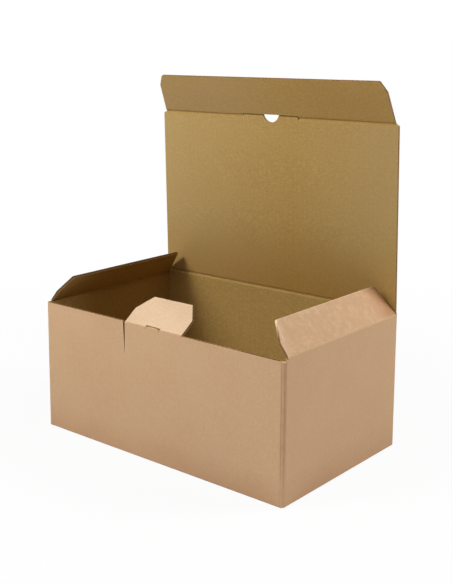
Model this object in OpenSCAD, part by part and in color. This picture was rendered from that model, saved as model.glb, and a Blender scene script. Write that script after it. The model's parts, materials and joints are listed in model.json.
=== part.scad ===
// Corrugated mailer box with a hinged tuck lid, standing open.
// X runs along the front wall, Y from front to back and Z up.
// The origin is the centre of the underside of the base.

/* [Board] */
// Thickness of the corrugated board
board_t = 3; // [2.6:0.1:3.4]
// Half thickness of the board where a crease is crushed
crease_r = 0.8; // [0.6:0.05:1.1]
// Width over which the board thins towards a crease
crush_l = 3; // [2:0.5:5]
// Clearance between a flap's root and the edge it turns on
crease_gap = 0.15; // [0.1:0.05:0.2]
// Outside radius of the upright folds between the walls
fold_r = 2.5; // [1.5:0.25:4]

/* [Walls] */
// Outside length of the box along the front wall
box_w = 350; // [320:1:400]
// Outside depth from the front wall to the back wall
box_d = 218.7; // [200:0.5:240]
// Height of the front wall's top edge
front_h = 153.2; // [130:0.5:180]
// Extra height of the front edge to the left of the slit
left_rise = 1.5; // [0:0.1:1.6]
// Height of the side creases above the front edge
side_rise = 2.7; // [2.7:0.1:4]
// Height of the lid crease above the side creases
lid_rise = 3.3; // [3.2:0.1:5]

/* [Glued corner] */
// Width of the glue flap inside the right wall
glue_w = 30; // [20:1:40]
// How far the right wall's cut edge stands back from the front
cut_edge_set = 3.9; // [3.4:0.1:6]
// Slope cut off each end of the glue flap
glue_slope = 14; // [6:1:20]

/* [Base] */
// Depth of the two end flaps inside the base
end_flap_l = 108; // [80:1:120]
// Width cut off each corner of the end flaps
end_flap_cut = 22; // [10:1:30]
// Width of the seam between the two long base flaps
seam_gap = 1; // [0.6:0.1:2]
// Distance of the seam from the middle line of the base
seam_set = 14; // [10:1:20]
// Place along the base where the seam changes side
seam_x = 32; // [20:1:50]
// Bevel of the folded lower edges
base_bevel = 1.2; // [0.6:0.1:1.6]
// Depth of the slanting creases under the base
base_crease_d = 0.5; // [0.3:0.1:0.8]

/* [Lid] */
// Angle of the lid above its closed position
lid_angle = 88.2; // [86:0.1:92]
// How far each side of the lid stands in from the walls
lid_inset = 1.7; // [1:0.1:3]
// Gap between the tucked flap and the front wall
tuck_clear = 0.3; // [0.2:0.05:0.6]
// Height of the slanting shoulders at the lid's front corners
shoulder_h = 2; // [1:0.5:4]
// Length of the lip over the lock slot, along the lid
lip_w = 77; // [74:1:80]
// How far the lip reaches past the crease
lip_out = 2.2; // [1.6:0.1:2.4]
// Place of the lip's middle along the lid
lip_x = -1; // [-3:0.5:3]
// Width of the thumb notch
notch_w = 24; // [18:0.5:30]
// Depth of the thumb notch
notch_d = 9.2; // [6:0.2:9.4]

/* [Tuck flap] */
// Bend of the tuck flap from the lid
tuck_bend = 21.7; // [15:0.1:23]
// Depth of the tuck flap
tuck_l = 51.2; // [45:0.2:60]
// How far each end of the tuck flap starts in from the lid
tuck_in = 3.9; // [3:0.1:6]
// How far each end stands in where the corner cut begins
tuck_kink_in = 6.8; // [6:0.1:9]
// Distance of the corner cut from the crease
tuck_kink_l = 38.2; // [30:0.2:42]
// How far each end stands in at the free edge
tuck_tip_in = 14; // [10:0.2:20]
// Radius of the tuck flap's free corners
tuck_round = 2; // [2:0.5:10]
// Depth of the recess that leaves the lock slot open
slot_depth = 3.7; // [3.6:0.1:5]

/* [Dust flaps] */
// Angle of the left dust flap above its flat position
left_flap_angle = 49.8; // [44:0.1:52]
// Angle of the right dust flap above its flat position
right_flap_angle = 53; // [44:0.1:54]
// Depth of the dust flaps
flap_l = 40.2; // [30:0.2:42]
// How far the flaps start back from the front wall's face
flap_front = 6.7; // [6.6:0.1:9]
// Distance of the front corner cut from the crease
flap_kink_l = 16.4; // [8:0.5:20]
// How far the free edge starts back from the front wall's face
flap_tip_front = 18.7; // [12:0.1:26]
// How far the flaps' roots stop short of the back wall's face
flap_back = 3.5; // [3.4:0.1:6]
// How far the free edge stops short of the back wall's face
flap_tip_back = 13.2; // [13:0.1:20]

/* [Lock tab] */
// Angle of the tab above its flat position
tab_angle = 35.1; // [32:0.1:40]
// Width of the tab at its crease
tab_w = 84; // [70:1:86]
// Place of the tab's middle along the front wall
tab_x = -2.6; // [-4:0.1:4]
// Depth of the tab
tab_l = 42.5; // [30:0.5:44]
// Distance of the corner cuts from the crease
tab_kink_l = 22.1; // [15:0.1:26]
// Width cut off each corner of the tab
tab_cut = 14.6; // [8:0.2:20]
// Height of the nib left standing on the front edge
nib_h = 1.6; // [0.8:0.1:1.6]
// Length of the nib along the front edge
nib_w = 20; // [12:0.5:26]
// Place of the nib's middle along the front wall
nib_x = -2.8; // [-10:0.1:10]
// Depth of the recess in the tab round the nib
nib_depth = 2.7; // [2.6:0.1:3.4]
// Width of the tapered slit at the front edge
slit_w = 2.4; // [1.2:0.1:3]
// Length of the tapered slit
slit_l = 39; // [20:1:60]

/* [Hidden] */
$fn = 48;
inner_t = board_t - crease_r;
half_w = box_w / 2;
half_d = box_d / 2;
side_z = front_h + side_rise;
lid_z = side_z + lid_rise;
// Crease to crease, so that the bent tuck flap fits inside the front wall
lid_l = box_d - 2 * crease_r - board_t - tuck_clear;
lid_half = half_w - lid_inset;
tuck_half = lid_half - tuck_in;
// Largest bends that the seats leave room for
flap_bend_in = 116;
lid_bend_out = 31;
tab_bend_in = 117;
tab_bend_out = 126;
eps = 0.01;

// Section drawn across a crease, carried along it
module along(x0, x1) {
    translate([x0, 0, 0])
        rotate([90, 0, 90])
            linear_extrude(x1 - x0) children();
}

// Frame of a crease: x along it, y away from the wall, z to the inside
module crease_frame(pos, turn) {
    translate(pos)
        rotate([90, 0, turn]) children();
}

module back_crease() {
    crease_frame([0, half_d - crease_r, lid_z], 0) children();
}

module front_crease() {
    crease_frame([0, crease_r - half_d, front_h], 180) children();
}

module left_crease() {
    crease_frame([crease_r - half_w, 0, side_z], 90) children();
}

module right_crease() {
    crease_frame([half_w - crease_r, 0, side_z], -90) children();
}

// Section of a sheet that hangs on a crease: round root, crushed inner face
module sheet_section(len) {
    circle(r = crease_r);
    polygon([
        [0, -crease_r],
        [len, -crease_r],
        [len, inner_t],
        [crush_l, inner_t],
        [0, crease_r]
    ]);
}

function turned(b, l, h) = [l * cos(b) - h * sin(b), l * sin(b) + h * cos(b)];

// Section cut from the sheet that carries a flap, for bends in and out
module seat_section(bend_in, bend_out) {
    r = crease_r + crease_gap;
    t = inner_t + crease_gap;
    circle(r = r);
    translate([0, -20]) square([40, 40]);
    polygon([
        [0, 0],
        turned(bend_in, 0, r),
        turned(bend_in, crush_l, t),
        turned(bend_in, 40, t),
        [40, 60],
        [40, 0]
    ]);
    polygon([
        [0, 0],
        [40, 0],
        [60, -60],
        turned(-bend_out, 40, -r),
        turned(-bend_out, 0, -r)
    ]);
}

// Section of the bevel that a crease presses into the inner face
module crush_section() {
    polygon([
        [0.1, crease_r],
        [0, crease_r],
        [-crush_l, inner_t],
        [-crush_l, inner_t + 1],
        [0.1, inner_t + 1]
    ]);
}

// Flat outline of a sheet, cut through its whole thickness
module through(points) {
    translate([0, 0, -10])
        linear_extrude(20) polygon(points);
}

// Outline of the tube of walls, rounded at the folds
module tube_outline() {
    square([box_w - 2 * fold_r, box_d], center = true);
    square([box_w, box_d - 2 * fold_r], center = true);
    for (sx = [-1, 1]) {
        for (sy = [-1, 1]) {
            translate([sx * (half_w - fold_r), sy * (half_d - fold_r)]) circle(r = fold_r);
        }
    }
}

// Free corner in front of the right wall's cut edge
module corner_gap() {
    x = half_w - board_t;
    r = board_t - crease_r;
    translate([x, -half_d - 5]) square([10, cut_edge_set + 5]);
    difference() {
        translate([x - r, -half_d - 5]) square([r + 1, r + 5]);
        translate([x - r, r - half_d]) circle(r = r);
    }
}

module wall_ring() {
    difference() {
        linear_extrude(lid_z) tube_outline();
        translate([0, 0, -1])
            linear_extrude(lid_z + 2)
                square([box_w - 2 * board_t, box_d - 2 * board_t], center = true);
        translate([0, 0, -1]) linear_extrude(lid_z + 2) corner_gap();
    }
}

// Glue flap that folds round from the front wall behind the right wall
module glue_flap() {
    y = board_t - half_d - eps;
    z0 = 2 * board_t + 1.5;
    z1 = front_h - 4;
    translate([half_w - board_t + eps, 0, 0])
        rotate([0, -90, 0])
            linear_extrude(board_t)
                polygon([
                    [z0, y],
                    [z0 + glue_slope, y + glue_w],
                    [z1 - glue_slope, y + glue_w],
                    [z1, y]
                ]);
}

// The two long flaps that close the base
module long_base_flaps() {
    difference() {
        linear_extrude(board_t) tube_outline();
        translate([0, 0, -1]) linear_extrude(board_t + 2) base_seam();
        translate([0, 0, -1]) linear_extrude(board_t + 2) corner_gap();
        base_creases();
    }
}

// Stepped seam where the long flaps hook into each other
module base_seam() {
    g = seam_gap / 2;
    s = seam_set;
    e = half_w - board_t;
    polygon([
        [-e, s - g],
        [seam_x - s - g, s - g],
        [seam_x + s - g, -s - g],
        [e, -s - g],
        [e, -s + g],
        [seam_x + s + g, -s + g],
        [seam_x - s + g, s + g],
        [-e, s + g]
    ]);
}

// Slanting creases that let the long flaps fold flat
module base_creases() {
    for (a = [0, 180]) {
        rotate([0, 0, a])
            translate([half_w, -half_d, 0])
                rotate([0, 0, 135])
                    translate([10, -1, -1]) cube([112, 2, 1 + base_crease_d]);
    }
}

// End flap glued on the long flaps, inside the base
module end_flap() {
    c = end_flap_cut;
    e = half_d - board_t - seam_gap;
    translate([0, 0, board_t - eps])
        linear_extrude(board_t + eps)
            polygon([
                [board_t - half_w - eps, -e],
                [end_flap_l - half_w, c - e],
                [end_flap_l - half_w, e - c],
                [board_t - half_w - eps, e]
            ]);
}

module base_bevels() {
    b = base_bevel;
    for (a = [0, 180]) {
        rotate([0, 0, a])
            translate([0, half_d, 0])
                rotate([45, 0, 0])
                    cube([box_w + 10, 10, b * sqrt(2)], center = true);
        rotate([0, 0, a])
            translate([half_w, 0, 0])
                rotate([0, -45, 0])
                    cube([10, box_d + 10, b * sqrt(2)], center = true);
    }
}

// Slit that tapers down from the tab's left end
module slit() {
    x = tab_x - tab_w / 2;
    translate([0, 10 - half_d, 0])
        rotate([90, 0, 0])
            linear_extrude(20)
                polygon([
                    [x - slit_w, front_h + 5],
                    [x - slit_w, front_h],
                    [x - slit_w * 0.2, front_h - slit_l],
                    [x + 0.2, front_h - 1],
                    [x + 0.2, front_h + 5]
                ]);
}

// Front wall's top edge, a little higher to the left of the slit
module front_top() {
    x = tab_x - tab_w / 2 - slit_w;
    translate([x, -half_d - 5, front_h]) cube([box_w, 5 + board_t + eps, 50]);
    translate([-half_w - 5, -half_d - 5, front_h + left_rise])
        cube([box_w, 5 + board_t + eps, 50]);
}

// Where a side crease has no flap, the wall ends at a cut edge
module side_top() {
    for (s = [-1, 1]) {
        translate([s * half_w - 5, -half_d - 5, front_h + left_rise])
            cube([10, 5 + flap_front, 50]);
    }
}

// Nib of the front wall that stays up when the tab folds
module nib() {
    w = nib_w / 2;
    intersection() {
        front_crease() along(-half_w, half_w) circle(r = nib_depth - 0.3);
        translate([nib_x, board_t - half_d, front_h])
            rotate([90, 0, 0])
                linear_extrude(board_t)
                    polygon([
                        [-w, -3],
                        [-w, nib_h * 0.6],
                        [0, nib_h],
                        [w * 0.5, nib_h * 0.75],
                        [w, -0.4],
                        [w, -3]
                    ]);
    }
}

module carton_body() color("#bf9c74") {
    x0 = -tab_x - tab_w / 2;
    difference() {
        union() {
            wall_ring();
            glue_flap();
            long_base_flaps();
            end_flap();
            rotate([0, 0, 180]) end_flap();
        }
        base_bevels();
        front_top();
        side_top();
        slit();
        back_crease() along(-half_w - 1, half_w + 1) {
            seat_section(90, lid_bend_out);
            crush_section();
        }
        left_crease() along(flap_front - 0.3 - half_d, half_d - board_t) {
            seat_section(flap_bend_in, 0);
        }
        right_crease() along(board_t - half_d, half_d - flap_front + 0.3) {
            seat_section(flap_bend_in, 0);
        }
        front_crease() along(x0 - 0.3, x0 + tab_w + 0.3) {
            seat_section(tab_bend_in, tab_bend_out);
        }
    }
    nib();
}

// Sheet of the lid with the thumb notch, lip and seats for the tuck flap
module lid_sheet() {
    r = crease_r + crease_gap;
    x0 = lip_x - lip_w / 2;
    x1 = lip_x + lip_w / 2;
    difference() {
        intersection() {
            along(-lid_half, lid_half) sheet_section(lid_l + lip_out);
            through([
                [-lid_half, -5],
                [-lid_half, lid_l - shoulder_h],
                [-tuck_half - 0.3, lid_l],
                [x0 - lip_out, lid_l],
                [x0, lid_l + lip_out],
                [x1, lid_l + lip_out],
                [x1 + lip_out, lid_l],
                [tuck_half + 0.3, lid_l],
                [lid_half, lid_l - shoulder_h],
                [lid_half, -5]
            ]);
        }
        translate([0, lid_l, 0]) {
            along(-half_w, x0 - lip_out) tuck_seat();
            along(x1 + lip_out, half_w) tuck_seat();
        }
        thumb_notch();
    }
}

module tuck_seat() {
    seat_section(90, 0);
    crush_section();
}

// Round notch cut from the lip's edge into the lid
module thumb_notch() {
    r = (notch_w * notch_w / 4 + notch_d * notch_d) / (2 * notch_d);
    translate([0, lid_l + lip_out - notch_d + r, -10]) cylinder(r = r, h = 20, $fn = 96);
}

module lid() color("#a5864f") {
    back_crease() rotate([90 - lid_angle, 0, 0]) lid_sheet();
}

// Round of radius r that takes off a flat sheet's corner p between a and b
module corner_round(p, a, b, r) {
    u = (a - p) / norm(a - p);
    v = (b - p) / norm(b - p);
    m = (u + v) / norm(u + v);
    half = acos(u * v) / 2;
    translate([0, 0, -10])
        linear_extrude(20)
            difference() {
                polygon([p + u * r / tan(half), p - m * 3, p + v * r / tan(half)]);
                translate(p + m * r / sin(half)) circle(r = r);
            }
}

module tuck_sheet() {
    x0 = lip_x - lip_w / 2 - lip_out - 0.8;
    x1 = lip_x + lip_w / 2 + lip_out + 0.8;
    k = lid_half - tuck_kink_in;
    e = lid_half - tuck_tip_in;
    difference() {
        intersection() {
            along(-tuck_half, tuck_half) sheet_section(tuck_l);
            through([
                [-tuck_half, -5],
                [-k, tuck_kink_l],
                [-e, tuck_l],
                [-e, tuck_l + 1],
                [e, tuck_l + 1],
                [e, tuck_l],
                [k, tuck_kink_l],
                [tuck_half, -5],
                [x1, -5],
                [x1, 0],
                [x1 - 1, slot_depth],
                [x0 + 1, slot_depth],
                [x0, 0],
                [x0, -5]
            ]);
        }
        corner_round([-e, tuck_l], [-k, tuck_kink_l], [0, tuck_l], tuck_round);
        corner_round([e, tuck_l], [0, tuck_l], [k, tuck_kink_l], tuck_round);
    }
}

module tuck_flap() color("#9a7c46") {
    back_crease()
        rotate([90 - lid_angle, 0, 0])
            translate([0, lid_l, 0])
                rotate([tuck_bend, 0, 0]) tuck_sheet();
}

// Dust flap drawn for the left wall
module dust_sheet() {
    f = flap_front - half_d;
    intersection() {
        along(f, half_d - flap_back) sheet_section(flap_l);
        through([
            [f, -5],
            [f, flap_kink_l],
            [flap_tip_front - half_d, flap_l],
            [flap_tip_front - half_d + 0.6, flap_l + 1],
            [half_d - flap_tip_back - 1, flap_l + 1],
            [half_d - flap_tip_back, flap_l - 1],
            [half_d - flap_back, 4],
            [half_d - flap_back, -5]
        ]);
    }
}

module left_dust_flap() color("#6e5330") {
    left_crease() rotate([90 - left_flap_angle, 0, 0]) dust_sheet();
}

module right_dust_flap() color("#cda782") {
    right_crease()
        rotate([90 - right_flap_angle, 0, 0])
            mirror([1, 0, 0]) dust_sheet();
}

module tab_sheet() {
    w = tab_w / 2;
    n = nib_w / 2 + 0.7;
    nx = tab_x - nib_x;
    intersection() {
        along(-w, w) sheet_section(tab_l);
        through([
            [-w, -5],
            [-w, tab_kink_l],
            [tab_cut - w, tab_l + 1],
            [w - tab_cut, tab_l + 1],
            [w, tab_kink_l],
            [w, -5],
            [nx + n, -5],
            [nx + n, nib_depth],
            [nx - n, nib_depth],
            [nx - n, -5]
        ]);
    }
}

module lock_tab() color("#e0bd94") {
    front_crease()
        translate([-tab_x, 0, 0])
            rotate([90 - tab_angle, 0, 0]) tab_sheet();
}

carton_body();
lid();
tuck_flap();
left_dust_flap();
right_dust_flap();
lock_tab();
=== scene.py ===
import json
import logging
import math
from dataclasses import dataclass
from enum import Enum
from typing import Any, Callable, Optional, Sequence, Union

import bmesh
import bpy
from mathutils import Matrix, Vector


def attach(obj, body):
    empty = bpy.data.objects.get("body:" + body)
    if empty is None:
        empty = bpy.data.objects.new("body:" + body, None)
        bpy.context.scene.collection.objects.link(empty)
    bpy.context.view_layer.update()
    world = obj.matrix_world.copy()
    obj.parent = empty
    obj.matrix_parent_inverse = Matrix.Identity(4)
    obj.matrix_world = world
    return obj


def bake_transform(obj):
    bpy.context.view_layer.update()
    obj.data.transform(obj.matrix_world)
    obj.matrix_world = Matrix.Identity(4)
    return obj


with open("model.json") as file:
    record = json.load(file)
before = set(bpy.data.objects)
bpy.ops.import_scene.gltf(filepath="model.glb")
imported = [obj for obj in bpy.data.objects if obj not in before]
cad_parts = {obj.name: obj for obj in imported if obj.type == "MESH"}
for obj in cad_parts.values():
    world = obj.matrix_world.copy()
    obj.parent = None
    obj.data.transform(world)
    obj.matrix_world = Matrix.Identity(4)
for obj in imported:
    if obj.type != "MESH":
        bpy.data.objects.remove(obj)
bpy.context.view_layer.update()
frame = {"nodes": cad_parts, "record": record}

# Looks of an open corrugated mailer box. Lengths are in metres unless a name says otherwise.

LOG = logging.getLogger("mailer_box")
MM = 0.001
SHARP = 0.05 * MM  # soft border where one paper meets another
CRISP = 0.1 * MM
WHITE = (1.0, 1.0, 1.0, 1.0)
Value = Union["Term", float, int]
Vec3 = tuple[float, float, float]
X_AXIS: Vec3 = (1, 0, 0)
Y_AXIS: Vec3 = (0, 1, 0)
Z_AXIS: Vec3 = (0, 0, 1)


def linear(r: int, g: int, b: int) -> Vec3:
    """Turns a colour as seen on a screen into scene values.

    Args:
        r: Red, 0 to 255.
        g: Green, 0 to 255.
        b: Blue, 0 to 255.

    Returns:
        The three linear values.
    """
    def one(v: float) -> float:
        """Turns one channel."""
        return v / 12.92 if v <= 0.04045 else ((v + 0.055) / 1.055) ** 2.4

    return one(r / 255), one(g / 255), one(b / 255)


class Term:
    """A shader socket that takes part in Python arithmetic."""

    def __init__(self, graph: "Graph", socket: Any) -> None:
        """Keeps the socket and the graph that it belongs to."""
        self.graph = graph
        self.socket = socket

    def __add__(self, other: Value) -> "Term":
        """Adds."""
        return self.graph.maths("ADD", self, other)

    __radd__ = __add__

    def __mul__(self, other: Value) -> "Term":
        """Multiplies."""
        return self.graph.maths("MULTIPLY", self, other)

    __rmul__ = __mul__

    def __sub__(self, other: Value) -> "Term":
        """Takes other from this."""
        return self.graph.maths("SUBTRACT", self, other)

    def __rsub__(self, other: Value) -> "Term":
        """Takes this from other."""
        return self.graph.maths("SUBTRACT", other, self)

    def __truediv__(self, other: Value) -> "Term":
        """Divides."""
        return self.graph.maths("DIVIDE", self, other)

    def __rtruediv__(self, other: Value) -> "Term":
        """Divides other by this."""
        return self.graph.maths("DIVIDE", other, self)

    def __neg__(self) -> "Term":
        """Changes the sign."""
        return self * -1.0

    def __abs__(self) -> "Term":
        """Drops the sign."""
        return self.graph.maths("ABSOLUTE", self)

    def low(self, other: Value) -> "Term":
        """The smaller of this and other."""
        return self.graph.maths("MINIMUM", self, other)

    def high(self, other: Value) -> "Term":
        """The larger of this and other."""
        return self.graph.maths("MAXIMUM", self, other)

    def over(self, edge: float, soft: float) -> "Term":
        """A mask that is 1 above an edge.

        Args:
            edge: The value where the mask is a half.
            soft: The width over which it goes from 0 to 1.

        Returns:
            The mask, from 0 to 1.
        """
        return self.graph.maths("MULTIPLY_ADD", self, 1 / soft, 0.5 - edge / soft, clamp=True)

    def under(self, edge: float, soft: float) -> "Term":
        """A mask that is 1 below an edge, as over() is above it."""
        return self.graph.maths("MULTIPLY_ADD", self, -1 / soft, 0.5 + edge / soft, clamp=True)

    def wave(self, pitch: float) -> "Term":
        """A cosine of this length, from -1 to 1, that repeats at a pitch."""
        return self.graph.maths("COSINE", self * (2 * math.pi / pitch))


class Graph:
    """The nodes of one material."""

    def __init__(self, material: bpy.types.Material) -> None:
        """Empties the material and keeps its tree.

        Args:
            material: The material to build.
        """
        material.use_nodes = True
        self.tree = material.node_tree
        self.tree.nodes.clear()

    def node(self, kind: str, settings: Optional[dict[str, Any]] = None,
             inputs: Optional[dict[Any, Any]] = None) -> bpy.types.Node:
        """Adds a node.

        Args:
            kind: The node's type, such as ShaderNodeMath.
            settings: Its properties, set before its sockets.
            inputs: Values or links of its sockets, by name or number.

        Returns:
            The node.
        """
        made = self.tree.nodes.new(kind)
        for name, value in (settings or {}).items():
            setattr(made, name, value)
        for name, value in (inputs or {}).items():
            if isinstance(value, Term):
                self.tree.links.new(value.socket, made.inputs[name])
            else:
                made.inputs[name].default_value = value
        return made

    def maths(self, operation: str, *values: Value, clamp: bool = False) -> Term:
        """Adds a Math node.

        Args:
            operation: Its operation.
            values: Its inputs.
            clamp: Whether the result is kept from 0 to 1.

        Returns:
            Its result.
        """
        made = self.node("ShaderNodeMath", {"operation": operation, "use_clamp": clamp},
                         dict(enumerate(values)))
        return Term(self, made.outputs[0])

    def place(self) -> Term:
        """The point on the piece, in its own coordinates."""
        return Term(self, self.node("ShaderNodeTexCoord").outputs["Object"])

    def shifted(self, point: Term, offset: Sequence[float]) -> Term:
        """Moves a point.

        Args:
            point: The point.
            offset: How far it is moved.

        Returns:
            The moved point.
        """
        made = self.node("ShaderNodeVectorMath", {"operation": "ADD"},
                         {0: point, 1: tuple(offset)})
        return Term(self, made.outputs[0])

    def along(self, point: Term, direction: Sequence[float]) -> Term:
        """Measures a point along a direction.

        Args:
            point: The point.
            direction: The direction, of length 1.

        Returns:
            How far it lies that way.
        """
        made = self.node("ShaderNodeVectorMath", {"operation": "DOT_PRODUCT"},
                         {0: point, 1: tuple(direction)})
        return Term(self, made.outputs["Value"])

    def vector(self, x: Value, y: Value, z: Value) -> Term:
        """Joins three values into a vector."""
        return Term(self, self.node("ShaderNodeCombineXYZ", None, {0: x, 1: y, 2: z}).outputs[0])

    def noise(self, point: Term, size: float, detail: float = 3.0, rough: float = 0.5) -> Term:
        """Cloudy noise around 0.5.

        Args:
            point: Where it is read.
            size: The width of its patches in metres.
            detail: How many finer layers it has.
            rough: How strong these are.

        Returns:
            The noise value.
        """
        made = self.node("ShaderNodeTexNoise", {"noise_dimensions": "3D"}, {
            "Vector": point, "Scale": 1 / size, "Detail": detail, "Roughness": rough})
        return Term(self, made.outputs[0])

    def mix(self, mask: Value, first: Any, second: Any, blend: str = "MIX") -> Term:
        """Mixes two colours.

        Args:
            mask: 0 gives the first, 1 the second.
            first: A colour or a link.
            second: A colour or a link.
            blend: How they are mixed.

        Returns:
            The mixed colour.
        """
        def colour(value: Any) -> Any:
            """Gives a plain colour its alpha."""
            return value if isinstance(value, Term) else (*value, 1.0)

        made = self.node("ShaderNodeMix", {"data_type": "RGBA", "blend_type": blend},
                         {0: mask, 6: colour(first), 7: colour(second)})
        return Term(self, made.outputs[2])


@dataclass(frozen=True)
class Board:
    """Sizes of the corrugated board, as the part has them.

    Attributes:
        thickness: Its thickness.
        crush_r: Distance of a hinge's axis from the outer face.
        crush_len: Length of the strip that slopes down to a crease.
        liner: Thickness of a liner.
        flute_pitch: Distance from one flute to the next.
    """

    thickness: float = 3.0 * MM
    crush_r: float = 0.8 * MM
    crush_len: float = 3.0 * MM
    liner: float = 0.28 * MM
    flute_pitch: float = 6.5 * MM

    @property
    def inner(self) -> float:
        """Distance from a hinge axis to the inner face."""
        return self.thickness - self.crush_r


@dataclass(frozen=True)
class Kraft:
    """Colours and roughness of the paper.

    Attributes:
        outside: The outer liner.
        outside_warm: Its darker, warmer patches.
        outside_pale: Its paler grain.
        outside_pale_and_lit: A pale outer liner: the tab's paler paper with painted sheen, pale
            blotches, and painted light on lit edges.
        outside_foot_shade: Painted shade low on the walls.
        outside_blush: A mottled outer liner.
        inside: The inner liner.
        inside_warm: Its warmer patches.
        inside_pale: Its paler grain.
        core_paper: The flutes' paper on a cut edge.
        core_hollow: The hollows between them.
        speck: The dark specks.
        slot_shade: Painted shade on the edges in the lock slot.
        crushed_and_highlight: Squashed paper at an edge, paler, with a painted highlight.
        roughness: How rough all of it is.
    """

    outside: Vec3 = linear(207, 170, 131)
    outside_warm: Vec3 = linear(203, 163, 126)
    outside_pale: Vec3 = linear(213, 179, 142)
    outside_pale_and_lit: Vec3 = linear(238, 206, 171)
    outside_foot_shade: Vec3 = linear(189, 145, 109)
    outside_blush: Vec3 = linear(209, 168, 129)
    inside: Vec3 = linear(177, 143, 80)
    inside_warm: Vec3 = linear(167, 130, 68)
    inside_pale: Vec3 = linear(190, 160, 97)
    core_paper: Vec3 = linear(170, 128, 84)
    core_hollow: Vec3 = linear(108, 74, 42)
    speck: Vec3 = linear(124, 92, 60)
    slot_shade: Vec3 = linear(84, 56, 24)
    crushed_and_highlight: Vec3 = linear(252, 228, 190)
    roughness: float = 0.88


@dataclass(frozen=True)
class Pattern:
    """Sizes of the paper's patterns and relief, and how strongly they show.

    Attributes:
        cloud_size: Width of the wide cloudy patches.
        fibre_size: Width of the long fibres.
        grain_size: Width of the pale grain.
        blotch_size: Width of a mottled liner's blotches.
        band_size: Length over which a flute's band changes its strength.
        band_amount: How much the flutes show through.
        speck_size: Width of the dark specks.
        speck_level: Noise value above which there is a speck.
        speck_amount: How much the specks show.
        fuzz_size: Width of the finest relief.
        fuzz_height: Its share of the relief.
        sheet_size: Width of the board's slow waves.
        sheet_height: Their share of the relief.
        flute_height: The flutes' share of the relief.
        relief: Height of the whole relief.
        relief_strength: How much of it the light shows.
        rough_spread: How much the roughness varies.
        gloss: The paper's specular level.
    """

    cloud_size: float = 60 * MM
    fibre_size: float = 1.3 * MM
    grain_size: float = 2.2 * MM
    blotch_size: float = 9 * MM
    band_size: float = 30 * MM
    band_amount: float = 0.13
    speck_size: float = 1.2 * MM
    speck_level: float = 0.735
    speck_amount: float = 0.4
    fuzz_size: float = 0.9 * MM
    fuzz_height: float = 0.05
    sheet_size: float = 22 * MM
    sheet_height: float = 0.6
    flute_height: float = 0.022
    relief: float = 0.5 * MM
    relief_strength: float = 0.5
    rough_spread: float = 0.12
    gloss: float = 0.25


class Side(Enum):
    """The two liners of the board and its cut edge."""

    OUTSIDE = "outside"
    INSIDE = "inside"
    EDGE = "edge"


class Tone(Enum):
    """How a sheet's outer liner is toned: plain, pale with painted sheen, mottled."""

    PLAIN = "plain"
    PALE_AND_SHEEN = "pale_and_lit"
    MOTTLED = "mottled"


@dataclass(frozen=True)
class Mark:
    """A place on a liner painted as a soft stroke: wear, squashing, painted light or painted shade.
    Its lengths are in millimetres.

    Attributes:
        start: Place along the crease and distance from it where it starts.
        end: Where it ends.
        width: Width of the stroke.
        soft: Width of its soft border.
        colour: The paper's colour there.
        amount: How much of this colour shows.
        side: The liner that has it.
    """

    start: tuple[float, float]
    end: tuple[float, float]
    width: float
    soft: float
    colour: Vec3
    amount: float
    side: Side

    def mask(self, g: "Graph", across: Term, run: Term) -> Term:
        """Draws the stroke.

        Args:
            g: The material's graph.
            across: Place along the crease.
            run: Distance from the crease.

        Returns:
            The mask, up to the mark's amount.
        """
        dx, dy = (end - start for start, end in zip(self.start, self.end))
        length = math.hypot(dx, dy)
        dx, dy = dx / length, dy / length
        px, py = across - self.start[0] * MM, run - self.start[1] * MM
        at = (px * dx + py * dy).high(0.0).low(length * MM)
        off_x, off_y = px - at * dx, py - at * dy
        off = g.maths("SQRT", off_x * off_x + off_y * off_y)
        return off.under(self.width / 2 * MM, self.soft * MM) * self.amount


def lean(level: Vector, degrees: float) -> tuple[Vector, Vector]:
    """Leans an upright sheet inward.

    Args:
        level: Level direction to the inside of the box.
        degrees: How far the sheet leans from upright.

    Returns:
        The direction up the sheet, and the normal of its inner face.
    """
    b = math.radians(degrees)
    top = Vector(Z_AXIS)
    return level * math.sin(b) + top * math.cos(b), level * math.cos(b) - top * math.sin(b)


@dataclass(frozen=True)
class Crease:
    """A fold line and the sheet that stands on it, at rest.

    Attributes:
        origin: A point on the fold line.
        along: Direction of the fold line.
        up: Direction in which the sheet runs from the fold.
        inward: Normal of the sheet's inner face.
    """

    origin: Vec3
    along: Vec3
    up: Vec3
    inward: Vec3

    @staticmethod
    def of(origin: Sequence[float], inside: Vec3, bend: float) -> "Crease":
        """Builds a crease from a fold line and a bend.

        Args:
            origin: A point on the fold line.
            inside: Level direction to the inside of the box.
            bend: Degrees that the sheet leans inward from upright.

        Returns:
            The crease.
        """
        level = Vector(inside)
        up, inward = lean(level, bend)
        return Crease(tuple(origin), tuple(level.cross(Vector(Z_AXIS))), tuple(up), tuple(inward))


def show(name: str, data: Any) -> bpy.types.Object:
    """Puts data into the scene as an object.

    Args:
        name: Name of the object.
        data: Its mesh, lamp or camera.

    Returns:
        The object.
    """
    made = bpy.data.objects.new(name, data)
    bpy.context.scene.collection.objects.link(made)
    return made


def prism(name: str, outline: Sequence[Vector], sweep: Vector) -> bpy.types.Object:
    """Makes a piece by sweeping a flat outline.

    Args:
        name: Name of the piece.
        outline: Its corners in order.
        sweep: The way that they are swept.

    Returns:
        The piece, in the scene.
    """
    bm = bmesh.new()
    face = bm.faces.new([bm.verts.new(corner) for corner in outline])
    grown = bmesh.ops.extrude_face_region(bm, geom=[face])
    ends = [v for v in grown["geom"] if isinstance(v, bmesh.types.BMVert)]
    bmesh.ops.translate(bm, verts=ends, vec=sweep)
    bmesh.ops.recalc_face_normals(bm, faces=bm.faces)
    mesh = bpy.data.meshes.new(name)
    bm.to_mesh(mesh)
    bm.free()
    LOG.info("piece %s: %d faces", name, len(mesh.polygons))
    return show(name, mesh)


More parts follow.
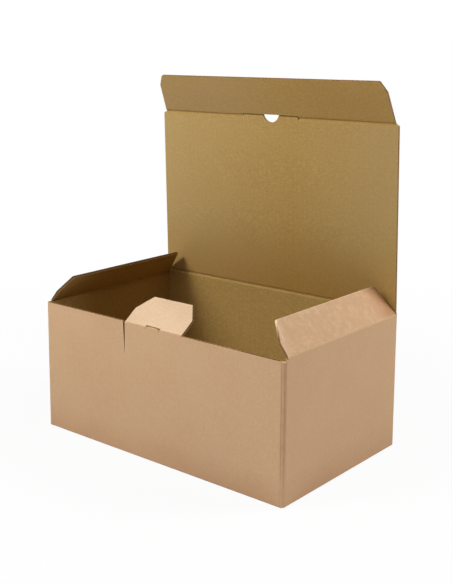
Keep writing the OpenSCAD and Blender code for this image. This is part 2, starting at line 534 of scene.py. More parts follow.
def assign(obj: bpy.types.Object, material: bpy.types.Material) -> None:
    """Puts one material in all of an object's slots.

    Args:
        obj: The object.
        material: The material.
    """
    if not obj.material_slots:
        obj.data.materials.append(material)
    for slot in obj.material_slots:
        slot.material = material
    LOG.info("dressed %s", obj.name)


class LinerPaint:
    """Paints the two liners and the fluted core of corrugated board."""

    def __init__(self, kraft: Kraft, board: Board, pattern: Pattern) -> None:
        """Keeps the colours and the sizes.

        Args:
            kraft: The liners' colours.
            board: The board's sizes.
            pattern: The paper's patterns.
        """
        self.kraft = kraft
        self.board = board
        self.pattern = pattern

    def liner(self, g: Graph, point: Term, across: Term, run: Term, side: Side,
              tone: Tone = Tone.PLAIN) -> Term:
        """Colour of a liner's paper.

        Args:
            g: The material's graph.
            point: The point on the piece.
            across: Place across the flutes.
            run: Place along the flutes.
            side: Which liner it is.
            tone: How the outer liner is toned.

        Returns:
            The colour.
        """
        k, p = self.kraft, self.pattern
        base, warm, pale = k.outside, k.outside_warm, k.outside_pale
        cloudy, fine = 0.75, 0.38
        mottled = side is Side.OUTSIDE and tone is Tone.MOTTLED
        if side is Side.INSIDE:
            base, warm, pale = k.inside, k.inside_warm, k.inside_pale
            cloudy, fine = 0.3, 0.55
        elif tone is Tone.PALE_AND_SHEEN:
            # the tab's pale liner: partly paler paper, partly painted sheen on its upward face
            base, warm, pale = k.outside_pale_and_lit, k.outside_pale, k.outside_pale_and_lit
        elif mottled:
            base = k.outside_blush
        cloud = g.noise(point, p.cloud_size, 2.0)
        colour = g.mix(cloud.over(0.5, 0.3) * cloudy, base, warm)
        # long fibres lie across the flutes, as the paper ran through the machine
        laid = g.vector(across * 0.16, run, across * 0.02 + run * 0.1)
        fibre = g.noise(laid, p.fibre_size, 3.0, 0.65)
        colour = g.mix(fibre.over(0.5, 0.3) * fine, colour, warm)
        grain = g.noise(g.shifted(point, (0.31, 0.17, 0.05)), p.grain_size, 3.0, 0.6)
        colour = g.mix(grain.over(0.54, 0.26) * fine * 1.25, colour, pale)
        if mottled:
            blotch = g.noise(g.shifted(point, (0.07, 0.2, 0.13)), p.blotch_size, 3.0, 0.6)
            colour = g.mix(blotch.under(0.46, 0.3) * 0.4, colour, warm)
            colour = g.mix(blotch.over(0.58, 0.26) * 0.3, colour, k.outside_pale_and_lit)
        # the flutes show through as faint bands of uneven strength
        band = across.wave(self.board.flute_pitch).over(0.1, 1.6)
        band = band * g.noise(g.vector(across, run * 0.15, 0.0), p.band_size, 1.0).over(0.5, 0.3)
        colour = g.mix(band * p.band_amount, colour, warm)
        speck = g.noise(g.shifted(point, (0.12, 0.4, 0.23)), p.speck_size, 1.0)
        return g.mix(speck.over(p.speck_level, 0.05) * p.speck_amount, colour, k.speck)

    def core(self, g: Graph, depth: Term, across: Term) -> Term:
        """Colour of a cut edge between the liners, with the flute's wave.

        Args:
            g: The material's graph.
            depth: Distance from the board's outer face.
            across: Place across the flutes.

        Returns:
            The colour.
        """
        b = self.board
        swing = (b.thickness - 2 * b.liner) * 0.42
        wave = across.wave(b.flute_pitch) * swing + b.thickness / 2
        off = abs(depth - wave)
        paper = off.under(0.32 * MM, 0.3 * MM)
        return g.mix(paper, self.kraft.core_hollow, self.kraft.core_paper)

    def cover(self, obj: bpy.types.Object, name: str,
              colour: Callable[[Graph, Term], tuple[Term, Term]]) -> None:
        """Gives a piece a paper material, with its roughness and relief.

        Args:
            obj: The piece.
            name: Name of the material.
            colour: Turns a point into its colour and its place across the flutes.
        """
        p = self.pattern
        material = bpy.data.materials.new(name)
        g = Graph(material)
        point = g.place()
        paper, across = colour(g, point)
        fuzz = g.noise(point, p.fuzz_size, 3.0, 0.7)
        sheet = g.noise(point, p.sheet_size, 2.0)
        flutes = across.wave(self.board.flute_pitch)
        bump = g.node("ShaderNodeBump", None, {
            "Strength": p.relief_strength, "Distance": p.relief,
            "Height": fuzz * p.fuzz_height + sheet * p.sheet_height + flutes * p.flute_height,
        })
        shader = g.node("ShaderNodeBsdfPrincipled", None, {
            "Base Color": paper, "Normal": Term(g, bump.outputs[0]), "Specular IOR Level": p.gloss,
            "Roughness": fuzz * p.rough_spread + (self.kraft.roughness - p.rough_spread / 2),
        })
        g.node("ShaderNodeOutputMaterial", None, {0: Term(g, shader.outputs[0])})
        LOG.info("material %s: %d nodes", name, len(g.tree.nodes))
        assign(obj, material)


@dataclass
class BoardSheet:
    """A flat flap or lid on a crease, cut from the board.

    Attributes:
        node: The solid that it dresses.
        crease: Where it hangs.
        paint: The liners' paint.
        tone: How its outer liner is toned.
        marks: Worn and squashed places, painted light and painted shade.
        far_crease: Distance of a second crease, if the sheet has one.
        cut: Part of that end, along the crease, that is a cut edge.
        uncut: Distance from the crease up to which there is no cut edge.
    """

    node: str
    crease: Crease
    paint: LinerPaint
    tone: Tone = Tone.PLAIN
    marks: tuple[Mark, ...] = ()
    far_crease: Optional[float] = None
    cut: tuple[float, float] = (0.0, 0.0)
    uncut: float = 1.2 * MM

    def depth(self, g: Graph, point: Term) -> tuple[Term, Term, Term]:
        """Places a point in the sheet.

        Args:
            g: The material's graph.
            point: The point on the piece.

        Returns:
            Place along the crease, distance from it and depth from the outer face.
        """
        at = g.shifted(point, [-v for v in self.crease.origin])
        across = g.along(at, self.crease.along)
        run = g.along(at, self.crease.up)
        depth = g.along(at, self.crease.inward) + self.paint.board.crush_r
        return across, run, depth

    def colour(self, g: Graph, point: Term) -> tuple[Term, Term]:
        """Paints liners, cut edges and marks.

        Args:
            g: The material's graph.
            point: The point on the piece.

        Returns:
            The colour and the place across the flutes.
        """
        b = self.paint.board
        across, run, depth = self.depth(g, point)
        outer = self.paint.liner(g, point, across, run, Side.OUTSIDE, self.tone)
        inner = self.paint.liner(g, point, across, run, Side.INSIDE)
        core = self.paint.core(g, depth, across)
        faces = {Side.OUTSIDE: outer, Side.INSIDE: inner, Side.EDGE: core}
        for mark in self.marks:
            faces[mark.side] = g.mix(mark.mask(g, across, run), faces[mark.side], mark.colour)
        outer, inner, core = faces.values()
        # the inner face slopes down to the crease over the crushed strip
        face = (run * ((b.inner - b.crush_r) / b.crush_len) + 2 * b.crush_r).low(b.thickness)
        is_inner = (depth - face).over(-b.liner, SHARP)
        is_core = depth.over(b.liner, SHARP) * run.over(self.uncut, 0.2 * MM)
        if self.far_crease is not None:
            low, high = self.cut
            folded = run.over(self.far_crease - b.crush_len - 0.3 * MM, CRISP)
            folded = folded * across.under(low, CRISP).high(across.over(high, CRISP))
            is_core = is_core * (1 - folded)
        colour = g.mix(depth.over(b.crush_r, SHARP), outer, inner)
        colour = g.mix(is_core, colour, core)
        return g.mix(is_inner, colour, inner), across

    def dress(self) -> None:
        """Gives the CAD node its board material."""
        self.paint.cover(frame["nodes"][self.node], self.node + "_board", self.colour)


@dataclass
class LinerFold:
    """The strip of liner that runs unbroken over a crease, from wall to flap.

    Its section is drawn unbent, in millimetres: for each point the distance up the sheet, the
    depth from the axis to the inside, and the share of the bend that the point takes.

    Attributes:
        name: Name of the piece.
        bodies: The bodies on both sides of the crease.
        crease: The crease.
        bend: Degrees from the wall's sheet to the flap's.
        base_lean: Degrees that the wall's sheet leans from upright.
        reach: From where to where it runs along the crease.
        side: The liner that it belongs to.
        section: Its outline on the side that is seen.
        paint: The liners' paint.
        film: Thickness of the strip, in millimetres.
    """

    name: str
    bodies: tuple[str, str]
    crease: Crease
    bend: float
    base_lean: float
    reach: tuple[float, float]
    side: Side
    section: tuple[tuple[float, float, float], ...]
    paint: LinerPaint
    film: float = 0.2

    def spot(self, up: float, deep: float, share: float) -> Vector:
        """Places a point of the section on the fold line.

        Args:
            up: Distance along the sheet, in millimetres.
            deep: Distance from the axis to the inside, in millimetres.
            share: Share of the bend, 0 on the wall and 1 on the flap.

        Returns:
            The point, in metres.
        """
        level = Vector(Z_AXIS).cross(Vector(self.crease.along))
        top, inward = lean(level, self.base_lean + share * self.bend)
        return Vector(self.crease.origin) + (top * up + inward * deep) * MM

    def colour(self, g: Graph, point: Term) -> tuple[Term, Term]:
        """Paints the liner, with its flutes across the crease.

        Args:
            g: The material's graph.
            point: The point on the piece.

        Returns:
            The colour and the place across the flutes.
        """
        across, run = g.along(point, self.crease.along), g.along(point, Z_AXIS)
        return self.paint.liner(g, point, across, run, self.side), across

    def build(self) -> bpy.types.Object:
        """Makes the strip and dresses it; a strip that takes none of the bend hangs on the first of
        its bodies.

        Returns:
            The strip.
        """
        film = self.film if self.side is Side.OUTSIDE else -self.film
        loop = [self.spot(*p) for p in self.section]
        loop += [self.spot(u, d + film, s) for u, d, s in reversed(self.section)]
        along, (low, high) = Vector(self.crease.along), self.reach
        strip = prism(self.name, [p + along * low for p in loop], along * (high - low))
        self.paint.cover(strip, self.name + "_liner", self.colour)
        near = [p for p in self.section if p[2] == 0][-1]
        far = [p for p in self.section if p[2] == 1]
        if far:
            tuple(self.spot(*near))
            tuple(self.spot(*far[0]))
            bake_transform(strip)
        else:
            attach(strip, self.bodies[0])
        return strip


@dataclass
class CartonBody:
    """The four walls, the base and the glued corner.

    Attributes:
        paint: The liners' paint.
        half_w: Half of the box's width.
        half_d: Half of its depth.
        front_h: Height of the front wall.
        tab_x0: Left end of the lock tab's crease.
        tab_x1: Its right end.
        glue_face_x: Where the front wall's fold begins.
        corner_set: How far the right wall's cut edge lies behind the front wall's face.
        foot_shade_rise: Height over which the painted shade low on the walls fades.
    """

    paint: LinerPaint
    half_w: float = 175 * MM
    half_d: float = 109.35 * MM
    front_h: float = 153.2 * MM
    tab_x0: float = -44.9 * MM
    tab_x1: float = 39.7 * MM
    glue_face_x: float = 169.0 * MM
    corner_set: float = 3.9 * MM
    foot_shade_rise: float = 62 * MM

    def colour(self, g: Graph, point: Term) -> tuple[Term, Term]:
        """Paints the liners, the cut edges and the glued corner, whose cut edge is painted near the
        liner's colour, partly as painted light in its recess.

        Args:
            g: The material's graph.
            point: The point on the piece.

        Returns:
            The colour and the place across the flutes.
        """
        b = self.paint.board
        x, y, z = (g.along(point, axis) for axis in (X_AXIS, Y_AXIS, Z_AXIS))
        dx = self.half_w - abs(x)
        dy = self.half_d - abs(y)
        t = b.thickness
        gap_x = (t - dx).high(0.0)
        gap_y = (t - dy).high(0.0)
        depth = t - g.maths("SQRT", gap_x * gap_x + gap_y * gap_y)
        on_side = (dy - dx).over(0.0, 0.2 * MM)
        across = x * (1 - on_side) + y * on_side
        outer = self.paint.liner(g, point, across, z, Side.OUTSIDE)
        inner = self.paint.liner(g, point, across, z, Side.INSIDE)
        # painted shade: the outer liner turns unevenly darker towards the floor
        uneven = g.noise(point, 40 * MM, 1.0).over(0.5, 0.5) * 0.6 + 0.5
        foot_shade = z.under(2 * MM, self.foot_shade_rise) * uneven
        outer = g.mix(foot_shade, outer, self.paint.kraft.outside_foot_shade)
        core = self.paint.core(g, depth, across)
        # painted light: the glued corner's cut edge is painted near the liner's colour, partly its
        # own colour and partly light in the recess
        glued = x.over(self.glue_face_x, 0.2 * MM) * y.under(8 * MM - self.half_d, 0.2 * MM)
        core = g.mix(glued * 0.75, core, self.paint.kraft.outside_warm)
        is_out = depth.under(b.liner, SHARP).high(z.under(b.liner, SHARP))
        is_in = depth.over(t - b.liner, SHARP)
        # creases have no cut edge: their crushed faces belong to the liner next to them
        at_front = y.under(6.5 * MM - self.half_d, CRISP)
        under_tab = (x.over(self.tab_x0, CRISP) * x.under(self.tab_x1, CRISP)
                     * z.over(self.front_h - 9 * MM, CRISP))
        creased = (1 - at_front).high(under_tab)
        body = g.mix(depth.over(1.0 * MM, CRISP), outer, inner)
        cut = g.mix(creased, core, body)
        colour = g.mix(is_out, cut, outer)
        colour = g.mix(is_in * z.over(b.liner, SHARP), colour, inner)
        # edges of the base's flaps
        inside = depth.over(t - 0.05 * MM, 0.02 * MM)
        low_layer = z.over(b.liner, SHARP) * z.under(t - b.liner, SHARP)
        high_layer = z.over(t + b.liner, SHARP) * z.under(2 * t - b.liner, SHARP)
        level = g.maths("FRACT", z / t) * t
        colour = g.mix(inside * (low_layer + high_layer), colour, self.paint.core(g, level, y))
        # the front wall's liner runs round into the glue flap
        corner = x.over(self.glue_face_x + 0.4 * MM, CRISP)
        corner = corner * y.under(self.corner_set - self.half_d - 0.05 * MM, 0.02 * MM)
        corner = corner * z.under(self.front_h - 0.2 * MM, CRISP)
        return g.mix(corner, colour, outer), across

    def dress(self) -> None:
        """Gives the CAD node its board material."""
        self.paint.cover(frame["nodes"]["carton_body"], "carton_body_board", self.colour)


@dataclass
class CrushedCorner:
    """The right wall's squashed cut edge, pressed against the front wall's fold, with a painted
    highlight on its top.

    Attributes:
        paint: The liners' paint.
        fold: Middle of the front wall's fold, in millimetres.
        fold_r: Radius just outside this fold, in millimetres.
        ridge_x: Where the two edges are pressed together.
        bottom: Its lower end.
        top: Its upper end.
        fade: Height below which the edge is less worn.
    """

    paint: LinerPaint
    fold: tuple[float, float] = (169.8, -107.15)
    fold_r: float = 2.21
    ridge_x: float = 171.55 * MM
    bottom: float = 1.3 * MM
    top: float = 153.0 * MM
    fade: float = 42 * MM

    def section(self) -> list[tuple[float, float]]:
        """Draws the section, from the fold round to the right wall and back.

        Returns:
            Its corners in millimetres.
        """
        def on_fold(turn: float) -> tuple[float, float]:
            """A point round the fold."""
            a, (x, y) = math.radians(turn), self.fold
            return x + self.fold_r * math.sin(a), y - self.fold_r * math.cos(a)

        front = [(170.2, -109.345), (171.3, -109.33), (171.55, -109.1), (171.8, -109.3),
                 (173.8, -109.25), (174.45, -109.05), (174.8, -108.6)]
        right = [(174.96, -107.9), (174.97, -106.5), (174.8, -106.2), (174.97, -105.95),
                 (174.99, -105.47)]
        hidden = [(172.02, -105.47), (172.02, -107.15)]
        return front + right + hidden + [on_fold(turn) for turn in (70, 45, 25, 12)]

    def colour(self, g: Graph, point: Term) -> tuple[Term, Term]:
        """Paints the worn edge, its ridge, and its top paler as squashed paper with a painted
        highlight.

        Args:
            g: The material's graph.
            point: The point on the piece.

        Returns:
            The colour and the place across the flutes.
        """
        x, z = g.along(point, X_AXIS), g.along(point, Z_AXIS)
        plain = self.paint.liner(g, point, x, z, Side.OUTSIDE)
        rubbed = g.noise(g.vector(x * 2.0, 0.0, z), 12 * MM, 3.0, 0.6)
        wear = rubbed.over(0.5, 0.4) * 0.6 + 0.45
        wear = wear * (z.over(self.fade, 40 * MM) * 0.55 + 0.45)
        colour = g.mix(wear, plain, linear(192, 152, 116))
        line = abs(x - self.ridge_x).under(0.28 * MM, 0.3 * MM)
        colour = g.mix(line * wear * 0.5, colour, linear(166, 126, 92))
        # painted highlight on the top, partly the paler squashed paper there
        end = z.over(self.top - 0.25 * MM, 0.2 * MM)
        return g.mix(end * 0.4, colour, linear(240, 210, 172)), x

    def build(self) -> bpy.types.Object:
        """Makes the edge and dresses it.

        Returns:
            The piece.
        """
        outline = [Vector((x * MM, y * MM, self.bottom)) for x, y in self.section()]
        corner = prism("crushed_corner", outline, Vector(Z_AXIS) * (self.top - self.bottom))
        self.paint.cover(corner, "crushed_corner_paper", self.colour)
        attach(corner, "carton")
        return corner


@dataclass(frozen=True)
class Viewpoint:
    """The camera of the photograph, as its perspective was solved.

    Attributes:
        place: Where it stands.
        right: Direction to the right of the picture.
        up: Direction to its top.
        back: Direction from the box to the camera.
        focal_px: Focal length in the photo's pixels.
        centre_px: Pixel that the camera's axis meets.
        frame_px: Width and height of the photo in pixels.
        sensor_mm: Height of the sensor in millimetres.
        clip: Nearest and farthest distance that is drawn.
    """

    place: Vec3 = (0.729832, -0.890521, 0.464232)
    right: Vec3 = (0.75277322, 0.65827788, -0.00164887)
    up: Vec3 = (-0.11195726, 0.13049616, 0.98510727)
    back: Vec3 = (0.64868949, -0.74137776, 0.171933)
    focal_px: float = 1015.939
    centre_px: tuple[float, float] = (185.567, 217.091)
    frame_px: tuple[int, int] = (452, 584)
    sensor_mm: float = 36.0
    clip: tuple[float, float] = (0.01, 50.0)

    def build(self) -> bpy.types.Object:
        """Makes the camera and sets it as the scene's.

        Returns:
            The camera object.
        """
        wide, high = self.frame_px
        data = bpy.data.cameras.new("photo_camera")
        data.sensor_width = self.sensor_mm
        data.lens = self.focal_px * self.sensor_mm / high
        data.shift_x = (wide / 2 - self.centre_px[0]) / high
        data.shift_y = (self.centre_px[1] - high / 2) / high
        data.clip_start, data.clip_end = self.clip
        camera = show("photo_camera", data)
        rows = Matrix((self.right, self.up, self.back))
        camera.matrix_world = Matrix.Translation(self.place) @ rows.transposed().to_4x4()
        bpy.context.scene.camera = camera
        return camera


@dataclass(frozen=True)
class Lamp:
    """One soft round lamp of the studio.

    Attributes:
        name: Its name.
        place: Where it stands.
        size: Its width.
        power: Its power in watts.
        aim: The place that it shines at.
    """

    name: str
    place: Vec3
    size: float
    power: float
    aim: Vec3 = (0.0, 0.0, 0.12)

    def build(self) -> bpy.types.Object:
        """Makes the lamp.

        Returns:
            The lamp object.
        """
        data = bpy.data.lights.new(self.name, "AREA")
        data.shape = "DISK"
        data.size = self.size
        data.energy = self.power
        lamp = show(self.name, data)
        lamp.location = self.place
        ray = Vector(self.aim) - Vector(self.place)
        lamp.rotation_euler = ray.to_track_quat("-Z", "Y").to_euler()
        return lamp


@dataclass
class Studio:
    """Floor, background and lamps.

    Attributes:
        floor_size: Width of the floor.
        floor_gap: How far it lies under the box.
        floor_grey: Its colour where light meets it.
        white_share: How white the camera sees it near the box.
        white_from: Distance from the box at which it is half way to pure white.
        white_soft: Length over which it turns pure white.
        footprint: Half of the box's base in each direction, a little inside its walls.
        lamps: The lamps.
    """

    floor_size: float = 12.0
    floor_gap: float = 0.2 * MM
    floor_grey: float = 0.8
    white_share: float = 0.93
    white_from: float = 0.55
    white_soft: float = 0.7
    footprint: tuple[tuple[Vec3, float], ...] = ((X_AXIS, 165 * MM), (Y_AXIS, 100 * MM))
    lamps: tuple[Lamp, ...] = (
        Lamp("key_softbox", (-0.45, -1.15, 1.25), 0.42, 8.1),
        Lamp("left_softbox", (-0.6, -0.9, 0.9), 0.5, 5.8),
        Lamp("front_softbox", (0.6, -1.4, 1.2), 0.6, 3.1),
        Lamp("top_softbox", (0.0, -0.35, 1.2), 0.4, 1.4),
        Lamp("back_softbox", (1.1, 0.9, 1.4), 0.9, 27.5),
    )

    def seen(self, g: Graph) -> Term:
        """Tells rays that end at the camera from those that light the box.

        Args:
            g: The graph of the floor or the world.

        Returns:
            A mask that is 1 for the camera, also in mirrors and through glass.
        """
        path = g.node("ShaderNodeLightPath")
        camera, mirror, glass = (Term(g, path.outputs[f"Is {kind} Ray"])
                                 for kind in ("Camera", "Glossy", "Transmission"))
        return camera.high(mirror).high(glass)

    def floor(self) -> bpy.types.Object:
        """Makes the pale floor.

        Returns:
            The floor object.
        """
        mesh = bpy.data.meshes.new("floor")
        bm = bmesh.new()
        bmesh.ops.create_grid(bm, x_segments=1, y_segments=1, size=self.floor_size / 2)
        bm.to_mesh(mesh)
        bm.free()
        floor = show("floor", mesh)
        floor.location = (0, 0, -self.floor_gap)
        material = bpy.data.materials.new("floor_white")
        g = Graph(material)
        grey = (self.floor_grey, self.floor_grey, self.floor_grey, 1.0)
        plain = g.node("ShaderNodeBsdfDiffuse", None, {0: grey})
        white = g.node("ShaderNodeEmission", None, {0: WHITE, 1: 1.0})
        from_box = g.node("ShaderNodeVectorMath", {"operation": "LENGTH"}, {0: g.place()})
        far = Term(g, from_box.outputs["Value"]).over(self.white_from, self.white_soft)
        share = far * (1 - self.white_share) + self.white_share
        # the dark floor right under the box shows through the seam of its base
        beyond = [abs(g.along(g.place(), axis)).over(edge, 2 * MM)
                  for axis, edge in self.footprint]
        share = share * beyond[0].high(beyond[1])
        both = g.node("ShaderNodeMixShader", None, {
            0: self.seen(g) * share, 1: Term(g, plain.outputs[0]), 2: Term(g, white.outputs[0])})
        g.node("ShaderNodeOutputMaterial", None, {0: Term(g, both.outputs[0])})
        floor.data.materials.append(material)
        return floor

    def world(self) -> None:
        """Sets the background, which is white to the camera and gives no light."""
        world = bpy.data.worlds.new("studio")
        bpy.context.scene.world = world
        world.use_nodes = True
        g = Graph(world)
        light = g.node("ShaderNodeBackground", None, {0: WHITE, 1: self.seen(g)})
        g.node("ShaderNodeOutputWorld", None, {0: Term(g, light.outputs[0])})

    def build(self) -> None:
        """Builds all of the studio."""
        self.floor()
        self.world()
        for lamp in self.lamps:
            lamp.build()
        bpy.context.scene.view_settings.view_transform = "Standard"


@dataclass
class MailerBox:
    """The whole box, from its sheets. Its lengths are in millimetres, its angles in degrees.

    Attributes:
        paint: The liners' paint.
        lid_lean: How far the lid leans inward from upright.
        tuck_bend: How far the tuck flap is bent from the lid.
        flap_lean: How far the left and the right dust flap lean inward from upright.
        tab_lean: How far the lock tab leans inward from upright.
        lid_len: Distance between the lid's two creases.
        lid_half: Half of the lid's width.
        tuck_half: Half of the tuck flap's width.
        lip: Ends of the lid's lip over the lock slot.
        flap_ends: Ends of a dust flap's crease.
        tab_ends: Ends of the lock tab's crease.
        nib_ends: Ends of the gap round the nib.
        outer_r: Distance of the outer strips from their hinge's axis.
    """

    paint: LinerPaint
    lid_lean: float = 1.8
    tuck_bend: float = 21.7
    flap_lean: tuple[float, float] = (40.2, 37.0)
    tab_lean: float = 54.9
    lid_len: float = 213.8
    lid_half: float = 173.3
    tuck_half: float = 169.4
    lip: tuple[float, float] = (-39.7, 41.7)
    flap_ends: tuple[float, float] = (-102.5, 105.7)
    tab_ends: tuple[float, float] = (-44.4, 39.2)
    nib_ends: tuple[float, float] = (-13.6, 8.2)
    outer_r: float = 0.81

    def creases(self) -> dict[str, Crease]:
        """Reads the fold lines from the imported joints.

        Returns:
            The crease of each hinged sheet, by its node.
        """
        at = {j["child"]: j["pos_m"] for j in frame["record"]["behaviour"]["joints"]}
        left_lean, right_lean = self.flap_lean
        return {
            "lid": Crease.of(at["lid"], (0, -1, 0), self.lid_lean),
            "tuck_flap": Crease.of(at["tuck"], (0, -1, 0), self.lid_lean + self.tuck_bend),
            "left_dust_flap": Crease.of(at["left_flap"], (1, 0, 0), left_lean),
            "right_dust_flap": Crease.of(at["right_flap"], (-1, 0, 0), right_lean),
            "lock_tab": Crease.of(at["tab"], (0, 1, 0), self.tab_lean),
        }

    def sheets(self) -> list[BoardSheet]:
        """Lists the hinged sheets with their wear.

        Returns:
            The sheets.
        """
        c, half = self.creases(), self.tuck_half
        return [
            BoardSheet("lid", c["lid"], self.paint, marks=self.lid_marks(),
                       far_crease=self.lid_len * MM, cut=(self.lip[0] * MM, self.lip[1] * MM)),
            BoardSheet("tuck_flap", c["tuck_flap"], self.paint, marks=self.tuck_marks()),
            BoardSheet("left_dust_flap", c["left_dust_flap"], self.paint, marks=(
                # painted shade on all the flap's cut edges, partly the dark open flutes
                Mark((-half, 20), (half, 20), 70, 4, linear(72, 52, 26), 0.75, Side.EDGE),)),
            BoardSheet("right_dust_flap", c["right_dust_flap"], self.paint, Tone.MOTTLED,
                       self.right_flap_marks()),
            # the lock tab's pale liner is partly painted sheen
            BoardSheet("lock_tab", c["lock_tab"], self.paint, Tone.PALE_AND_SHEEN, (
                # painted light: the nib's cut edges are painted pale so the gap round the nib looks
                # less dark
                Mark((self.nib_ends[0], 1), (self.nib_ends[1], 1), 7, 1,
                     self.paint.kraft.outside_pale_and_lit, 0.9, Side.EDGE),)),
        ]

    def lid_marks(self) -> tuple[Mark, ...]:
        """Lists the lid's marks: painted shade on its lower part, a painted highlight along its
        fold that is partly polished paper, painted light on its upper part and painted shade at the
        lip.

        Returns:
            The marks.
        """
        half, (low, high), top = self.tuck_half, self.lip, self.lid_len + 2.2
        k = self.paint.kraft
        return (
            # painted shade: the lid darkens towards its lower crease
            Mark((-half, 0), (half, 0), 50, 130, linear(156, 110, 40), 0.85, Side.INSIDE),
            # painted highlight along the fold, partly the stretched, polished paper of the crease
            Mark((-half, 1.9), (half, 1.9), 2, 1.2, linear(205, 172, 110), 0.25, Side.INSIDE),
            # painted light: the upper lid paler towards both ends
            Mark((half, 190), (half, 90), 120, 280, linear(194, 168, 120), 0.55, Side.INSIDE),
            Mark((-half, 195), (-half, 120), 60, 220, linear(180, 153, 106), 0.8, Side.INSIDE),
            # painted shade in the slot over the lip, on its cut edge and inner liner
            Mark((low, top), (high, top), 5, 1, k.slot_shade, 0.9, Side.EDGE),
            Mark((low, top), (high, top), 2.2, 0.8, linear(100, 66, 24), 0.85, Side.INSIDE),
        )

    def tuck_marks(self) -> tuple[Mark, ...]:
        """Lists the tuck flap's marks: painted light on its left end, painted shade on its right
        end and painted shade in the slot.

        Returns:
            The marks.
        """
        half, (low, high), k = self.tuck_half, self.lip, self.paint.kraft
        return (
            # painted light: the left end in a greyer tone
            Mark((half, 25), (70, 25), 60, 160, linear(168, 139, 106), 0.6, Side.INSIDE),
            # painted shade: the right end darker
            Mark((-half, 25), (-90, 25), 60, 220, linear(152, 116, 66), 0.55, Side.INSIDE),
            # painted shade on the slot's cut edge
            Mark((low, 2), (high, 2), 7, 1, k.slot_shade, 0.9, Side.EDGE),
        )

    def right_flap_marks(self) -> tuple[Mark, ...]:
        """Lists the right dust flap's marks: painted shade at the back corner, painted light on the
        front end and its cut edge, and painted highlights, partly squashed paper, on the free edge
        and front tip.

        Returns:
            The marks.
        """
        pale_and_lit, crushed_and_highlight = self.paint.kraft.outside_pale_and_lit, self.paint.kraft.crushed_and_highlight
        return (
            # painted shade: the back corner darkens to brown
            Mark((98, 42), (106, 12), 30, 36, linear(162, 106, 54), 0.85, Side.OUTSIDE),
            # painted light on the flap's front end
            Mark((-103, 0), (-92, 38), 4, 14, pale_and_lit, 0.5, Side.OUTSIDE),
            # painted highlight along the free edge, partly squashed paper
            Mark((-90, 39.8), (96, 39.8), 0.5, 0.5, crushed_and_highlight, 0.35, Side.OUTSIDE),
            # painted highlight at the front tip, partly squashed paper
            Mark((-90.6, 40.2), (-93.2, 35), 3, 2, crushed_and_highlight, 0.95, Side.EDGE),
            Mark((-91, 41), (-92, 37), 1.2, 1, crushed_and_highlight, 0.8, Side.OUTSIDE),
            # painted light on the front end's cut edge
            Mark((-93, 36), (-99, 16), 3, 2, pale_and_lit, 0.6, Side.EDGE),
            # painted highlight along the front end
            Mark((-92.6, 34), (-97, 18), 0.7, 0.8, crushed_and_highlight, 0.4, Side.OUTSIDE),
        )

    def folds(self) -> list[LinerFold]:
        """Lists the strips of liner that run over the creases.

        Returns:
            The strips.
        """
        c, r, half = self.creases(), self.outer_r, self.tuck_half
        over = ((-2.2, -r, 0), (-1, -r, 0), (0, -r, 0), (0, -r, 0.25), (0, -r, 0.5),
                (0, -r, 0.75), (0, -r, 1), (1, -r, 1))
        beside = ((-0.6, 0.05 - r, 0), (2.6, 0.05 - r, 0))
        flap_side = ((0.3, 0.98, 0.8), (1, 1.28, 1))
        lid_in = ((-2.4, 2.21, 0), (-1.9, 2.12, 0), (-1.2, 1.4, 0), (-0.4, 1, 0.3), *flap_side)
        tuck_in = ((-2.4, 1.94, 0), (-1.6, 1.56, 0), (-0.5, 1.02, 0.2), *flap_side)
        flap_in = ((-4.4, 2.21, 0), (-2.8, 1.5, 0), (-1.1, 0.95, 0.2), *flap_side)
        out: list[LinerFold] = []

        def fold(name: str, bodies: tuple[str, str], node: str, bends: tuple[float, float],
                 reach: tuple[float, float], side: Side, section: tuple[Vec3, ...]) -> None:
            """Adds a strip.

            Args:
                name: Its name.
                bodies: The bodies on both sides of its crease.
                node: The solid that hangs on this crease.
                bends: The wall's lean from upright, and the bend from it to the flap.
                reach: From where to where it runs along the crease.
                side: The liner that it belongs to.
                section: Its outline on the side that is seen.
            """
            base, bend = bends
            ends = (reach[0] * MM, reach[1] * MM)
            out.append(LinerFold(name, bodies, c[node], bend, base, ends, side, section,
                                 self.paint))

        for label, side, section in (("outer", Side.OUTSIDE, over), ("inner", Side.INSIDE, lid_in)):
            fold(f"lid_fold_{label}", ("carton", "lid"), "lid", (0, self.lid_lean),
                 (-self.lid_half, self.lid_half), side, section)
        tuck_lean = (self.lid_lean, self.tuck_bend)
        low, high = self.lip
        for label, way, edge in (("a", -1, low), ("b", 1, high)):
            for side, section, gap in ((Side.OUTSIDE, over, 0.1), (Side.INSIDE, tuck_in, 1.6)):
                fold(f"tuck_fold_{side.value}_{label}", ("lid", "tuck"), "tuck_flap", tuck_lean,
                     tuple(sorted((way * half, edge + way * gap))), side, section)
        for label, reach in (("a", (low - 0.6, low + 2.2)), ("b", (high - 2.2, high + 0.6))):
            fold(f"lip_liner_{label}", ("lid", "tuck"), "tuck_flap", tuck_lean, reach,
                 Side.OUTSIDE, beside)
        front, back = self.flap_ends
        for name, reach, bend in (("left", (-back, -front), self.flap_lean[0]),
                                  ("right", (front, back), self.flap_lean[1])):
            for label, side, section in (("outer", Side.OUTSIDE, over),
                                         ("inner", Side.INSIDE, flap_in)):
                fold(f"{name}_flap_fold_{label}", ("carton", f"{name}_flap"),
                     f"{name}_dust_flap", (0, bend), reach, side, section)
        for label, reach in (("a", (self.tab_ends[0], self.nib_ends[0])),
                             ("b", (self.nib_ends[1], self.tab_ends[1]))):
            fold(f"tab_fold_outer_{label}", ("carton", "tab"), "lock_tab", (0, self.tab_lean),
                 reach, Side.OUTSIDE, over)
        return out

    def build(self) -> None:
        """Dresses the body and every hinged sheet, and lays the liner over the creases."""
        CartonBody(self.paint).dress()
        CrushedCorner(self.paint).build()
        for sheet in self.sheets():
            sheet.dress()
        for fold in self.folds():
            fold.build()


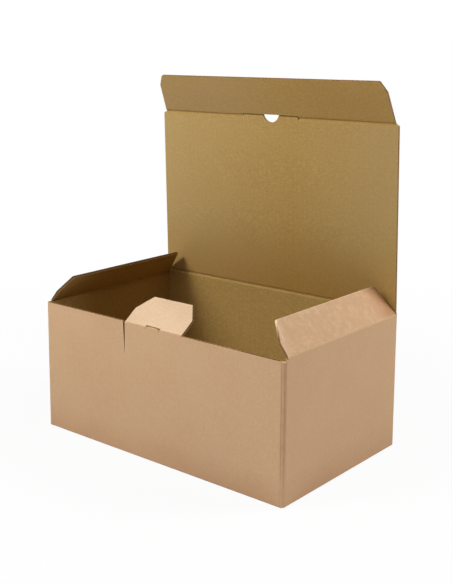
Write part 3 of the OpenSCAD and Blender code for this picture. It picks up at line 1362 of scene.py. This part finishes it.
def main() -> None:
    """Builds the box and the studio."""
    logging.basicConfig(level=logging.INFO, format="%(message)s")
    Viewpoint().build()
    MailerBox(LinerPaint(Kraft(), Board(), Pattern())).build()
    Studio().build()


if __name__ == "__main__":
    main()
